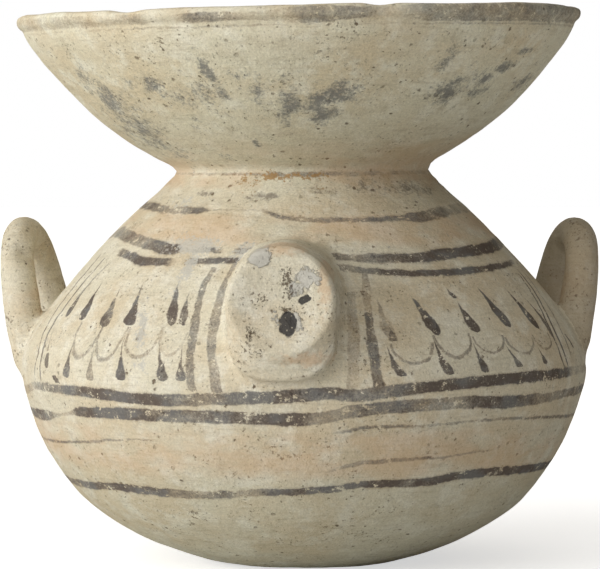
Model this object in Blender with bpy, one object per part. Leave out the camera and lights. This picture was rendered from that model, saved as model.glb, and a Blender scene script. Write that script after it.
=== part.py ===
"""An olla: a round-bottomed clay pot with a wide funnel mouth, two upright loop handles and two disc lugs.

Metres, +Z up. The origin is the centre of the flat resting spot under the pot, and the front is -Y.
The pot is one fired piece, so it is one object. The other objects are shapes that it is joined from.
"""

import math

import bmesh
import bpy
from mathutils import Vector

# Driving dimensions of the pot
REST_RADIUS = 0.027  # flat spot that the pot stands on
BELLY_RADIUS = 0.1189
BELLY_HEIGHT = 0.0825
NECK_RADIUS = 0.0533
NECK_HEIGHT = 0.1642
RIM_RADIUS = 0.1184
RIM_HEIGHT = 0.2304

# Thickness of the wall
FLOOR_WALL = 0.0095
BELLY_WALL = 0.0072
FUNNEL_WALL = 0.0064
LIP_WALL = 0.0058

# The funnel was set on by hand, a little off the body's axis and leaning to -X
FUNNEL_OFFSET = 0.0008
FUNNEL_LEAN = math.radians(1.0)

# Loop handles: rolls of clay that stand upright on the widest part
HANDLE_TURN = math.radians(101)  # from the front, on either side
HANDLE_RADIUS = {"left": 0.1214, "right": 0.1178}  # from the pot's axis to the roll's middle at its top
HANDLE_TOP = 0.1368  # height of the roll's middle
HANDLE_HALF_WIDTH = 0.0228  # from the middle to a leg's centreline
ROLL_RADIUS = 0.0074
ROOT_RADIUS = 0.0098

# Disc lugs: solid stubs that stand as upright as the handles, each with a shallow dish in its face
LUG_TURNS = {"front": math.radians(-4.2), "back": math.radians(180)}
LUG_HEIGHT = 0.1148  # of the disc's centre
LUG_DISC_RADIUS = 0.0220
LUG_REACH = 0.1262  # from the pot's axis to the disc's face
LUG_TILT = math.radians(6)  # the face looks up this much
DISH_DEPTH = 0.0012

# Fineness of the turned and lofted shapes
SEGMENTS = 56
OUTER_STEPS = 2  # between the points of the profile
INNER_STEPS = 1
SLIVER = 0.0001  # points nearer than this are one
ROLL_SIDES = 12
LUG_SIDES = 28

CLAY_COLOUR = (0.72, 0.63, 0.47, 1.0)


def smooth_curve(points, steps):
    """Points along a smooth curve through the given ones, with this many steps between each pair."""
    knots = [Vector(p) for p in points]
    knots = [2 * knots[0] - knots[1], *knots, 2 * knots[-1] - knots[-2]]
    curve = []
    for before, start, end, after in zip(knots, knots[1:], knots[2:], knots[3:]):
        span = (end - start).length
        leave = (end - before) * (span / (span + (start - before).length))
        arrive = (after - start) * (span / (span + (after - end).length))
        for step in range(steps):
            t = step / steps
            curve.append(
                (2 * t**3 - 3 * t**2 + 1) * start
                + (t**3 - 2 * t**2 + t) * leave
                + (3 * t**2 - 2 * t**3) * end
                + (t**3 - t**2) * arrive
            )
    return [*curve, knots[-2]]


def outer_profile(steps):
    """The outer wall as (radius, height), from the edge of the resting spot to just under the lip."""
    belly = smooth_curve(
        [
            (REST_RADIUS, 0),
            (0.0440, 0.0022),
            (0.0700, 0.0118),
            (0.0921, 0.0264),
            (0.1072, 0.0466),
            (0.1155, 0.0660),
            (BELLY_RADIUS, BELLY_HEIGHT),
            (0.1146, 0.0965),
            (0.1034, 0.1118),
            (0.0904, 0.1272),
            (0.0760, 0.1425),
            (0.0590, 0.1578),
        ],
        steps,
    )
    neck = [
        Vector((0.0552, 0.1614)),
        Vector((NECK_RADIUS, NECK_HEIGHT)),
        Vector((0.0558, 0.1666)),
    ]
    funnel = smooth_curve(
        [
            (0.0608, 0.1694),
            (0.0735, 0.1776),
            (0.0865, 0.1877),
            (0.0965, 0.1978),
            (0.1057, 0.2079),
            (0.1130, 0.2172),
            (0.1156, 0.2226),
        ],
        steps,
    )
    return [*belly, *neck, *funnel]


def wall_at(height):
    """The wall's thickness at a height on its outer side."""
    rises = [
        (0.0, FLOOR_WALL),
        (BELLY_HEIGHT, BELLY_WALL),
        (NECK_HEIGHT, FUNNEL_WALL),
        (RIM_HEIGHT, LIP_WALL),
    ]
    for (low, wall_low), (high, wall_high) in zip(rises, rises[1:]):
        if height <= high:
            share = (height - low) / (high - low)
            return wall_low + (wall_high - wall_low) * share
    return LIP_WALL


def set_in(profile, depth_share):
    """The profile moved into the wall, square to its surface, by a share of the wall's thickness."""
    moved = []
    for before, point, after in zip(profile, profile[1:], profile[2:]):
        along = (after - before).normalized()
        inward = Vector((-along.y, along.x))
        moved.append(point + inward * (wall_at(point.y) * depth_share))
    return moved


def shell_profile():
    """The whole wall in section: rest, outer side, lip, inner side and floor, from axis to axis."""
    outer = outer_profile(OUTER_STEPS)
    lip = [
        Vector((0.1166, 0.2243)),
        Vector((RIM_RADIUS, 0.2268)),
        Vector((RIM_RADIUS, 0.2292)),
        Vector((0.1168, RIM_HEIGHT)),
        Vector((0.1138, RIM_HEIGHT - 0.0002)),
        Vector((0.1118, 0.2290)),
    ]
    inner = set_in(outer_profile(INNER_STEPS), 1)[::-1]
    floor = Vector((0, FLOOR_WALL))
    return [Vector((0, 0)), *outer, *lip, *inner, floor]


def core_profile():
    """A closed section halfway into the wall. What is joined to the pot stops there."""
    middle = set_in(outer_profile(INNER_STEPS), 0.5)
    return [Vector((0, FLOOR_WALL / 2)), *middle, Vector((0, middle[-1].y))]


def new_object(name, bm, material=None):
    """An object of this mesh, with its faces pointing out and shaded smooth."""
    bmesh.ops.recalc_face_normals(bm, faces=bm.faces)
    mesh = bpy.data.meshes.new(name)
    bm.to_mesh(mesh)
    bm.free()
    mesh.shade_smooth()
    mesh.set_sharp_from_angle(angle=math.radians(40))
    obj = bpy.data.objects.new(name, mesh)
    bpy.context.scene.collection.objects.link(obj)
    if material:
        mesh.materials.append(material)
    return obj


def turned(name, profile, material=None):
    """A shape turned about the pot's axis, with its funnel set over as the potter left it."""
    bm = bmesh.new()
    points = [bm.verts.new((p.x, 0, p.y)) for p in profile]
    lines = [bm.edges.new(pair) for pair in zip(points, points[1:])]
    bmesh.ops.spin(
        bm,
        geom=points + lines,
        cent=(0, 0, 0),
        axis=(0, 0, 1),
        angle=2 * math.pi,
        steps=SEGMENTS,
        use_merge=True,
    )
    bmesh.ops.remove_doubles(bm, verts=bm.verts, dist=1e-6)
    for vert in bm.verts:
        vert.co = lean_funnel(vert.co)
    return new_object(name, bm, material)


def lean_funnel(point):
    """Moves a point above the neck with the funnel: over by its offset, and round by its lean."""
    above = point.z - NECK_HEIGHT
    share = min(max(above / 0.008 + 0.5, 0), 1)
    share = share * share * (3 - 2 * share)
    over = FUNNEL_OFFSET + above * math.sin(FUNNEL_LEAN)
    up = point.x * math.sin(FUNNEL_LEAN)
    return point + share * Vector((-over, 0, up))


def placed(turn, across, out, height):
    """A point at a turn from the front: sideways along the wall, out from the axis, and up."""
    outward = Vector((math.sin(turn), -math.cos(turn), 0))
    sideways = Vector((math.cos(turn), math.sin(turn), 0))
    return outward * out + sideways * across + Vector((0, 0, height))


def lofted(name, rings):
    """A closed shape through rings of points, each with the same number of points."""
    bm = bmesh.new()
    loops = []
    for ring in rings:
        points = [bm.verts.new(p) for p in ring]
        loops.append([bm.edges.new((points[i - 1], points[i])) for i in range(len(points))])
    for below, above in zip(loops, loops[1:]):
        bmesh.ops.bridge_loops(bm, edges=below + above)
    bmesh.ops.holes_fill(bm, edges=loops[0] + loops[-1])
    return new_object(name, bm)


def handle(name, turn, radius_at_top):
    """A roll of clay bent into a loop. Its legs lean into the belly and thicken towards their roots."""
    half = [
        (1.08, 0.0130, 0.0810),
        (1.05, 0.0082, 0.0960),
        (1.00, 0.0050, 0.1100),
        (0.88, 0.0028, 0.1220),
        (0.52, 0.0008, 0.1330),
        (0.00, 0.0000, HANDLE_TOP),
    ]
    knots = [
        (side * share * HANDLE_HALF_WIDTH, radius_at_top - lean, height)
        for side, legs in ((-1, half), (1, half[-2::-1]))
        for share, lean, height in legs
    ]
    path = smooth_curve(knots, 3)
    path = [placed(turn, *point) for point in path]
    outward = placed(turn, 0, 1, 0)
    rings = []
    for i, centre in enumerate(path):
        before = path[max(i - 1, 0)]
        after = path[min(i + 1, len(path) - 1)]
        along = (after - before).normalized()
        flat = (outward - along * outward.dot(along)).normalized()
        side = along.cross(flat)
        rise = (centre.z - path[0].z) / (HANDLE_TOP - path[0].z)
        radius = ROLL_RADIUS + (ROOT_RADIUS - ROLL_RADIUS) * (1 - rise) ** 2
        turns = [2 * math.pi * k / ROLL_SIDES for k in range(ROLL_SIDES)]
        rings.append([centre + radius * (flat * math.cos(a) + side * math.sin(a)) for a in turns])
    return lofted(name, rings)


def lug(name, turn):
    """A stub with a dished disc on its end. Its lower side spreads into the belly with squarer corners."""
    # How far each ring stands back from the disc's face, its radius, its drop below the disc's centre,
    # and the power of its lower curve, which is 2 for a circle
    stations = [
        (0.0420, 0.0242, 0.0250, 2.4),
        (0.0150, 0.0225, 0.0322, 3.2),
        (0.0080, 0.0219, 0.0312, 3.2),
        (0.0050, 0.0219, 0.0275, 2.8),
        (0.0030, LUG_DISC_RADIUS, 0.0238, 2.3),
        (0.0012, LUG_DISC_RADIUS, LUG_DISC_RADIUS, 2.0),
        (0.0000, 0.0203, 0.0203, 2.0),
        (0.0000, 0.0178, 0.0178, 2.0),
        (DISH_DEPTH, 0.0120, 0.0120, 2.0),
    ]
    rings = []
    for back, radius, drop, power in stations:
        ring = []
        for k in range(LUG_SIDES):
            angle = 2 * math.pi * (k + 0.5) / LUG_SIDES
            across, up = math.cos(angle), math.sin(angle)
            if up < 0:
                across = math.copysign(abs(across) ** (2 / power), across)
                up = -drop / radius * abs(up) ** (2 / power)
            rise = up * radius
            out = LUG_REACH - back - rise * math.sin(LUG_TILT)
            ring.append(placed(turn, across * radius, out, LUG_HEIGHT + rise))
        rings.append(ring)
    return lofted(name, rings)


def as_guide(obj):
    """Marks a shape that only helps to make the pot."""
    obj.hide_render = True
    obj.display_type = "WIRE"
    return obj


def join(obj, other, operation):
    """Adds a Boolean to an object: UNION joins the other shape to it and DIFFERENCE cuts it away."""
    boolean = obj.modifiers.new(f"{operation.lower()} {other.name}", "BOOLEAN")
    boolean.operation = operation
    boolean.object = other
    boolean.solver = "EXACT"


def clay_material():
    """Pale fired clay, as the pot's plain ground."""
    material = bpy.data.materials.new("fired_clay")
    material.use_nodes = True
    shader = material.node_tree.nodes["Principled BSDF"]
    shader.inputs["Base Color"].default_value = CLAY_COLOUR
    shader.inputs["Roughness"].default_value = 0.85
    shader.inputs["Metallic"].default_value = 0.0
    return material


def main():
    for obj in list(bpy.data.objects):
        bpy.data.objects.remove(obj)
    olla = turned("olla", shell_profile(), clay_material())
    core = as_guide(turned("wall_core", core_profile()))
    joined = [
        handle("handle_left", -HANDLE_TURN, HANDLE_RADIUS["left"]),
        handle("handle_right", HANDLE_TURN, HANDLE_RADIUS["right"]),
        *[lug(f"lug_{side}", turn) for side, turn in LUG_TURNS.items()],
    ]
    for piece in joined:
        join(as_guide(piece), core, "DIFFERENCE")
        join(olla, piece, "UNION")
    weld = olla.modifiers.new("weld slivers", "WELD")
    weld.merge_threshold = SLIVER


main()
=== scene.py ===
import math

import bmesh
import bpy
from mathutils import Matrix, Vector, noise


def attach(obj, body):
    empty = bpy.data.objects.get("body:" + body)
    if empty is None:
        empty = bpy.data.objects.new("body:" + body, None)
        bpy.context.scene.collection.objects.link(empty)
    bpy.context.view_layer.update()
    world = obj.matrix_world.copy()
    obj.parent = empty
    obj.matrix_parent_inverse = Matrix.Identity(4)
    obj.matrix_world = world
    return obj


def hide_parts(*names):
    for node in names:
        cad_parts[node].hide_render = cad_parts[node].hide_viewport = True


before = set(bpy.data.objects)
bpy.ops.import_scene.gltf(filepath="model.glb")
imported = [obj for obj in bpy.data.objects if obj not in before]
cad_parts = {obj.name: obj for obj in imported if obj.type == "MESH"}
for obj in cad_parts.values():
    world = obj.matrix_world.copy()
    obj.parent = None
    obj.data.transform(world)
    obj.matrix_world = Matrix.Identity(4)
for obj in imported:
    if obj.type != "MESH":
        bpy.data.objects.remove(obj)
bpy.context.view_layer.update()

# The pot's sizes in metres, as in its solid. Its front is -Y and its axis is Z.
REST_RADIUS = 0.027
BELLY_HEIGHT = 0.0825
NECK_HEIGHT = 0.1642
RIM_HEIGHT = 0.2304
FLOOR_WALL = 0.0095
BELLY_WALL = 0.0072
FUNNEL_WALL = 0.0064
LIP_WALL = 0.0058
FUNNEL_OFFSET = 0.0008
FUNNEL_LEAN = math.radians(1.0)

HANDLE_TURN = math.radians(101)
HANDLE_RADIUS = {"left": 0.1214, "right": 0.1178}
HANDLE_TOP = 0.1368
HANDLE_HALF_WIDTH = 0.0228
ROLL_RADIUS = 0.0074
ROOT_RADIUS = 0.0098

FINGER_DENT = Vector((-0.1180, 0.0020, 0.1295))

LUG_TURN = {"front": math.radians(-4.2), "back": math.radians(180)}
LUG_HEIGHT = 0.1148
LUG_REACH = 0.1262
LUG_TILT = math.radians(6)

# Fineness of the mesh
SEGMENTS = 320
OUTER_SPACING = 0.0021
INNER_SPACING = 0.0065
ROLL_SIDES = 28
LUG_SIDES = 72

# The camera stands level with the neck, as the photograph's did
CAMERA_PLACE = Vector((-0.0016, -1.5, 0.185))
CAMERA_AIM = Vector((-0.0016, 0, 0.1161))
PIXEL_AT_AIM = 0.00042  # what one pixel of the 600 covers at the pot's axis
IMAGE_WIDTH = 600
SENSOR_WIDTH = 36.0


# Curves and profiles

def smooth_curve(points, steps):
    """Points along a smooth curve through the given ones, with this many steps between each pair."""
    knots = [Vector(p) for p in points]
    knots = [2 * knots[0] - knots[1], *knots, 2 * knots[-1] - knots[-2]]
    curve = []
    for before, start, end, after in zip(knots, knots[1:], knots[2:], knots[3:]):
        span = (end - start).length
        leave = (end - before) * (span / (span + (start - before).length))
        arrive = (after - start) * (span / (span + (after - end).length))
        for step in range(steps):
            t = step / steps
            curve.append(
                (2 * t**3 - 3 * t**2 + 1) * start
                + (t**3 - 2 * t**2 + t) * leave
                + (3 * t**2 - 2 * t**3) * end
                + (t**3 - t**2) * arrive
            )
    return [*curve, knots[-2]]


def evenly(points, spacing):
    """Points at even steps along a line of straight pieces, both ends kept."""
    reach = [0.0]
    for start, end in zip(points, points[1:]):
        reach.append(reach[-1] + (end - start).length)
    steps = max(2, round(reach[-1] / spacing))
    spread, place = [], 0
    for step in range(steps + 1):
        goal = reach[-1] * step / steps
        while place < len(points) - 2 and reach[place + 1] < goal:
            place += 1
        share = (goal - reach[place]) / (reach[place + 1] - reach[place])
        spread.append(points[place].lerp(points[place + 1], share))
    return spread


def outer_knots():
    """The outer wall as (radius, height): the rest's edge, the belly, the neck and the funnel."""
    return [
        (REST_RADIUS, 0),
        (0.0440, 0.0022),
        (0.0700, 0.0118),
        (0.0921, 0.0264),
        (0.1072, 0.0466),
        (0.1155, 0.0660),
        (0.1189, BELLY_HEIGHT),
        (0.1146, 0.0965),
        (0.1034, 0.1118),
        (0.0904, 0.1272),
        (0.0760, 0.1425),
        (0.0590, 0.1578),
        (0.0552, 0.1614),
        (0.0533, NECK_HEIGHT),
        (0.0558, 0.1666),
        (0.0608, 0.1694),
        (0.0735, 0.1776),
        (0.0865, 0.1877),
        (0.0965, 0.1978),
        (0.1057, 0.2079),
        (0.1130, 0.2172),
        (0.1154, 0.2219),
    ]


def lip_knots():
    """The lip: a low band with a step under it, and a rounded top that runs into the inner wall."""
    return [
        (0.1159, 0.2234),
        (0.1172, 0.2246),
        (0.1181, 0.2262),
        (0.1183, 0.2282),
        (0.1175, 0.2297),
        (0.1155, RIM_HEIGHT),
        (0.1132, 0.2301),
        (0.1117, 0.2288),
    ]


def wall_at(height):
    """The wall's thickness at a height on its outer side."""
    rises = [(0.0, FLOOR_WALL), (BELLY_HEIGHT, BELLY_WALL), (NECK_HEIGHT, FUNNEL_WALL), (RIM_HEIGHT, LIP_WALL)]
    for (low, wall_low), (high, wall_high) in zip(rises, rises[1:]):
        if height <= high:
            return wall_low + (wall_high - wall_low) * (height - low) / (high - low)
    return LIP_WALL


def inner_knots():
    """The inner wall, from under the lip down to the floor's edge."""
    outer = [Vector(p) for p in outer_knots()]
    moved = []
    for before, point, after in zip(outer, outer[1:], outer[2:]):
        along = (after - before).normalized()
        inward = Vector((-along.y, along.x))
        moved.append(point + inward * wall_at(point.y))
    return moved[::-1]


def outer_profile():
    """The outer wall and the lip's outer half, at the mesh's own spacing."""
    wall = evenly(smooth_curve(outer_knots(), 10), OUTER_SPACING)
    lip = evenly(smooth_curve([outer_knots()[-1], *lip_knots()], 8), 0.0009)
    return [Vector((0, 0)), Vector((REST_RADIUS * 0.5, 0)), *wall, *lip[1:]]


def inner_profile():
    """The inner wall from the lip's inner edge to the middle of the floor."""
    wall = evenly(smooth_curve([lip_knots()[-1], *inner_knots()], 8), INNER_SPACING)
    floor = evenly([wall[-1], Vector((0, FLOOR_WALL))], INNER_SPACING * 1.5)
    return [*wall[1:], *floor[1:]]


def lean_funnel(point):
    """Moves a point above the neck with the funnel: over by its offset, and round by its lean."""
    above = point.z - NECK_HEIGHT
    share = min(max(above / 0.008 + 0.5, 0), 1)
    share = share * share * (3 - 2 * share)
    over = FUNNEL_OFFSET + above * math.sin(FUNNEL_LEAN)
    up = point.x * math.sin(FUNNEL_LEAN)
    return point + share * Vector((-over, 0, up))


def placed(turn, across, out, height):
    """A point at a turn from the front: sideways along the wall, out from the axis, and up."""
    outward = Vector((math.sin(turn), -math.cos(turn), 0))
    sideways = Vector((math.cos(turn), math.sin(turn), 0))
    return outward * out + sideways * across + Vector((0, 0, height))


# The potter's hand: unevenness, dents and worn places in the mesh

def turn_of(point):
    """The angle from the front, in degrees, positive towards +X."""
    return math.degrees(math.atan2(point.x, -point.y))


def bumps(point, size, seed):
    """Smooth noise from -1 to 1 with lumps of about this size."""
    return noise.noise(point / size + Vector((seed * 7.31, seed * 3.77, seed * 5.13)))


def dent(point, centre, reach):
    """How deep in a soft round dent a point is, from 0 to 1."""
    away = (point - centre).length / reach
    return max(0.0, 1 - away * away) ** 2


# Knocks in the wall: where, how far they reach and how deep they are, in metres
KNOCKS = [
    ((-0.1165, -0.004, 0.2200), 0.0055, 0.0016),
    ((-0.1130, -0.010, 0.2120), 0.0080, 0.0008),
    ((0.1145, -0.003, 0.2235), 0.0040, 0.0014),
    ((0.1010, -0.010, 0.2020), 0.0060, 0.0008),
    ((-0.0920, -0.020, 0.1960), 0.0100, 0.0008),
    ((0.0300, -0.1130, 0.2290), 0.0090, 0.0012),
    ((-0.0700, -0.0930, 0.2290), 0.0100, 0.0010),
    ((0.1060, -0.0500, 0.0700), 0.0120, 0.0008),
]


def hand_formed(point, normal):
    """A wall point pushed in or out by the unevenness of a hand-made and long-buried pot."""
    swell = 0.0007 * bumps(point, 0.060, 1) + 0.0004 * bumps(point, 0.024, 2)
    wiping = 0.00016 * noise.noise(Vector((point.x * 22, point.y * 22, point.z * 260)))
    grain = 0.00010 * bumps(point, 0.0058, 3)
    worn = max(0.0, bumps(point, 0.018, 4) - 0.25)
    worn *= 0.0006 * max(0.0, bumps(point, 0.0050, 5))
    knocks = sum(depth * dent(point, Vector(place), reach) for place, reach, depth in KNOCKS)
    lumps = 0.0004 * max(0.0, 1 - abs(point.z - 0.1610) / 0.0055) * (1 + noise.noise(point / 0.0024))
    return point + normal * (swell + wiping + grain - worn - knocks + lumps - 0.0006)


def form_wall(bm):
    """Gives the turned wall its unevenness. The resting spot stays flat."""
    bm.normal_update()
    moved = []
    for vert in bm.verts:
        point = hand_formed(vert.co, vert.normal)
        if vert.co.z < 1e-5:
            point = vert.co.copy()
        if vert.co.z > 0.220:
            point.z += 0.00035 * bumps(Vector((point.x, point.y, 0)), 0.030, 6)
        moved.append(point)
    for vert, point in zip(bm.verts, moved):
        vert.co = point
        vert.co.z = max(vert.co.z, 0)


# Pieces of the mesh

WALL, INSIDE, HANDLE, LUG = range(4)
ADDED = {HANDLE, LUG}

# Zones of the outer wall, each with a material of its own that works out only the marks in it:
# its name, its lowest and highest point in millimetres, and the turns between which it lies
ZONES = [
    ("funnel", 164, 240, -180, 180),
    ("shoulder", 132, 164, -180, 180),
    ("frieze_left", 76, 132, -90, -6),
    ("frieze_right", 76, 132, -6, 90),
    ("frieze_back_left", 76, 132, -180, -90),
    ("frieze_back_right", 76, 132, 90, 180),
    ("belly", 60, 76, -180, 180),
    ("foot", 0, 60, -180, 180),
]


def turned_line(bm, profile, slot):
    """Spins a profile about the pot's axis and gives its faces a material slot."""
    points = [bm.verts.new((p.x, 0, p.y)) for p in profile]
    lines = [bm.edges.new(pair) for pair in zip(points, points[1:])]
    before = set(bm.faces)
    bmesh.ops.spin(
        bm,
        geom=points + lines,
        cent=(0, 0, 0),
        axis=(0, 0, 1),
        angle=2 * math.pi,
        steps=SEGMENTS,
        use_merge=True,
    )
    for face in bm.faces:
        if face not in before:
            face.material_index = slot


def wall_mesh():
    """The hollow pot without its handles and lugs."""
    bm = bmesh.new()
    outer = outer_profile()
    turned_line(bm, outer, WALL)
    turned_line(bm, [outer[-1], *inner_profile()], INSIDE)
    bmesh.ops.remove_doubles(bm, verts=bm.verts, dist=1e-6)
    for vert in bm.verts:
        vert.co = lean_funnel(vert.co)
    bmesh.ops.recalc_face_normals(bm, faces=bm.faces)
    form_wall(bm)
    return bm


def loft(bm, rings, slot):
    """A closed shape through rings of points, each with the same number of points."""
    before = set(bm.faces)
    points = [bm.verts.new(p) for p in rings[0]]
    first = edges = [bm.edges.new((points[i - 1], points[i])) for i in range(len(points))]
    for ring in rings[1:]:
        grown = bmesh.ops.extrude_edge_only(bm, edges=edges)["geom"]
        added = {item for item in grown if isinstance(item, bmesh.types.BMVert)}
        edges = [item for item in grown if isinstance(item, bmesh.types.BMEdge) and added.issuperset(item.verts)]
        points = [next(e.other_vert(v) for e in v.link_edges if e.other_vert(v) in added) for v in points]
        for vert, place in zip(points, ring):
            vert.co = place
    ends = bmesh.ops.holes_fill(bm, edges=first + edges)["faces"]
    bmesh.ops.poke(bm, faces=ends)
    for face in bm.faces:
        if face not in before:
            face.material_index = slot


def add_handle(bm, side):
    """A roll of clay bent into a loop. Its legs lean into the belly and thicken towards their roots."""
    turn = HANDLE_TURN if side == "right" else -HANDLE_TURN
    half = [
        (1.08, 0.0130, 0.0810),
        (1.05, 0.0082, 0.0960),
        (1.00, 0.0050, 0.1100),
        (0.88, 0.0028, 0.1220),
        (0.52, 0.0008, 0.1330),
        (0.00, 0.0000, HANDLE_TOP),
    ]
    knots = [
        (way * share * HANDLE_HALF_WIDTH, HANDLE_RADIUS[side] - lean, height)
        for way, legs in ((-1, half), (1, half[-2::-1]))
        for share, lean, height in legs
    ]
    path = evenly([placed(turn, *point) for point in smooth_curve(knots, 8)], 0.0020)
    outward = placed(turn, 0, 1, 0)
    rings = []
    for i, centre in enumerate(path):
        along = (path[min(i + 1, len(path) - 1)] - path[max(i - 1, 0)]).normalized()
        flat = (outward - along * outward.dot(along)).normalized()
        across = along.cross(flat)
        rise = (centre.z - path[0].z) / (HANDLE_TOP - path[0].z)
        radius = ROLL_RADIUS + (ROOT_RADIUS - ROLL_RADIUS) * (1 - rise) ** 2
        ring = []
        for k in range(ROLL_SIDES):
            angle = 2 * math.pi * k / ROLL_SIDES
            spoke = flat * math.cos(angle) + across * math.sin(angle)
            ring.append(handle_point(centre, spoke, radius, side))
        rings.append(ring)
    loft(bm, rings, HANDLE)


def handle_point(centre, spoke, radius, side):
    """A point on a roll, with its unevenness and the finger's dent in the left one."""
    point = centre + spoke * radius
    push = 0.0004 * bumps(point, 0.016, 8) + 0.00012 * bumps(point, 0.0045, 9) - 0.0003
    if side == "left":
        push -= 0.0030 * dent(point, FINGER_DENT, 0.0085)
    return point + spoke * push


def add_lug(bm, turn, seed):
    """A stub with a dished disc on its end. Its lower side spreads into the belly with squarer corners."""
    # How far each ring stands back from the disc's face, its radius, its drop below the disc's centre,
    # and the power of its lower curve, which is 2 for a circle
    stations = [
        (0.0420, 0.0242, 0.0250, 2.4),
        (0.0150, 0.0225, 0.0322, 3.2),
        (0.0080, 0.0219, 0.0312, 3.2),
        (0.0050, 0.0219, 0.0275, 2.8),
        (0.0028, 0.0219, 0.0238, 2.3),
        (0.0012, 0.0215, 0.0220, 2.0),
        (0.0002, 0.0203, 0.0204, 2.0),
        (0.0001, 0.0178, 0.0178, 2.0),
        (0.0009, 0.0120, 0.0120, 2.0),
        (0.0012, 0.0060, 0.0060, 2.0),
        (0.0012, 0.0024, 0.0024, 2.0),
    ]
    rings = []
    for back, radius, drop, power in smooth_curve(stations, 5):
        ring = []
        for k in range(LUG_SIDES):
            angle = 2 * math.pi * (k + 0.5) / LUG_SIDES
            across, up = math.cos(angle), math.sin(angle)
            if up < 0:
                across = math.copysign(abs(across) ** (2 / power), across)
                up = -drop / radius * abs(up) ** (2 / power)
            rise = up * radius
            out = LUG_REACH - max(back, 0) - rise * math.sin(LUG_TILT)
            point = placed(turn, across * radius, out, LUG_HEIGHT + rise)
            push = 0.0004 * bumps(point, 0.014, seed) + 0.00015 * bumps(point, 0.004, seed + 1) - 0.0005
            ring.append(point + placed(turn, across * 0.7, 0.7, 0) * push)
        rings.append(ring)
    loft(bm, rings, LUG)


def added_mesh():
    """The handles and lugs, as four closed shapes that reach halfway into the wall."""
    bm = bmesh.new()
    for side in HANDLE_RADIUS:
        add_handle(bm, side)
    for seed, turn in enumerate(LUG_TURN.values(), start=10):
        add_lug(bm, turn, seed)
    bmesh.ops.recalc_face_normals(bm, faces=bm.faces)
    return bm


def new_object(name, bm):
    """An object of this mesh at the origin."""
    mesh = bpy.data.meshes.new(name)
    bm.to_mesh(mesh)
    bm.free()
    obj = bpy.data.objects.new(name, mesh)
    bpy.context.scene.collection.objects.link(obj)
    return obj


def boolean(obj, other, operation):
    """Joins or cuts one object with another and keeps the result in its mesh."""
    cut = obj.modifiers.new(operation, "BOOLEAN")
    cut.operation = operation
    cut.object = other
    cut.solver = "EXACT"
    result = bpy.data.meshes.new_from_object(obj.evaluated_get(bpy.context.evaluated_depsgraph_get()))
    obj.modifiers.remove(cut)
    obj.data = result


def core_mesh():
    """A closed body halfway into the wall. What is joined to the pot stops there."""
    outer = [Vector(p) for p in outer_knots()[:12]]
    middle = []
    for before, point, after in zip(outer, outer[1:], outer[2:]):
        along = (after - before).normalized()
        middle.append(point + Vector((-along.y, along.x)) * (wall_at(point.y) * 0.5))
    bm = bmesh.new()
    turned_line(bm, [Vector((0, middle[0].y)), *middle, Vector((0, middle[-1].y))], WALL)
    bmesh.ops.remove_doubles(bm, verts=bm.verts, dist=1e-6)
    bmesh.ops.recalc_face_normals(bm, faces=bm.faces)
    return bm


def seam_rings(bm, count):
    """Rings of points round each joint of handle or lug with wall, from the joint outwards."""
    joint = {
        vert
        for edge in bm.edges
        if len({face.material_index in ADDED for face in edge.link_faces}) > 1
        for vert in edge.verts
    }
    rings, seen = [joint], set(joint)
    for _ in range(count):
        ring = {
            edge.other_vert(vert)
            for vert in rings[-1]
            for edge in vert.link_edges
            if edge.other_vert(vert) not in seen
        }
        seen |= ring
        rings.append(ring)
    return rings


def smooth_joints(bm):
    """Rounds the joints as a wet thumb does, and notes how near each point is to one."""
    seam = bm.verts.layers.float.new("seam")
    close = {vert for ring in seam_rings(bm, 1) for vert in ring}
    bmesh.ops.remove_doubles(bm, verts=list(close), dist=0.0004)
    rings = seam_rings(bm, 7)
    for reach, times in ((3, 6), (2, 5), (1, 3)):
        verts = [vert for ring in rings[: reach + 1] for vert in ring]
        for _ in range(times):
            bmesh.ops.smooth_vert(
                bm, verts=verts, factor=0.5, use_axis_x=True, use_axis_y=True, use_axis_z=True
            )
    for away, ring in enumerate(rings):
        for vert in ring:
            vert[seam] = 1 - away / len(rings)


def part_of(face):
    """The place of a face's material in the list: its zone of the outer wall, or the part that it belongs to."""
    if face.material_index != WALL:
        return len(ZONES) - 1 + face.material_index
    centre = face.calc_center_median()
    for index, (_, low, high, left, right) in enumerate(ZONES):
        if low <= centre.z * 1000 < high and left <= turn_of(centre) <= right:
            return index
    return 0


def build_pot():
    """The whole pot as one mesh."""
    pot = new_object("olla_fired", wall_mesh())
    added = new_object("handles_and_lugs", added_mesh())
    core = new_object("wall_core", core_mesh())
    boolean(added, core, "DIFFERENCE")
    boolean(pot, added, "UNION")
    for helper in (added, core):
        bpy.data.objects.remove(helper)
    bm = bmesh.new()
    bm.from_mesh(pot.data)
    smooth_joints(bm)
    for face in bm.faces:
        face.material_index = part_of(face)
    bm.to_mesh(pot.data)
    bm.free()
    pot.data.shade_smooth()
    return pot


# Colours of the clay, its stains and its paint

def tone(red, green, blue):
    """A colour from the usual values of 0 to 255."""
    shares = [value / 255 for value in (red, green, blue)]
    return (*(s / 12.92 if s < 0.04 else ((s + 0.055) / 1.055) ** 2.4 for s in shares), 1.0)


CREAM = tone(212, 205, 184)
PALE = tone(224, 219, 203)
WARM = tone(206, 192, 165)
TAN = tone(202, 170, 134)
SMEAR = tone(112, 103, 94)
ASH = tone(106, 108, 108)
GRIME = tone(88, 70, 50)
GOLD_GRIME = tone(158, 126, 82)
THIN_PAINT = tone(130, 100, 72)
DRAB = tone(172, 160, 136)
SOOT = tone(58, 56, 56)
BROWN_PAINT = tone(82, 71, 66)
BLUE_PAINT = tone(104, 105, 106)
LIME = tone(190, 187, 178)
OCHRE = tone(200, 150, 84)
RED_OCHRE = tone(188, 104, 72)

# What the painter and the ground left on the pot. Turns are in degrees from the front, positive towards +X.
# Heights and widths are in millimetres.

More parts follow.
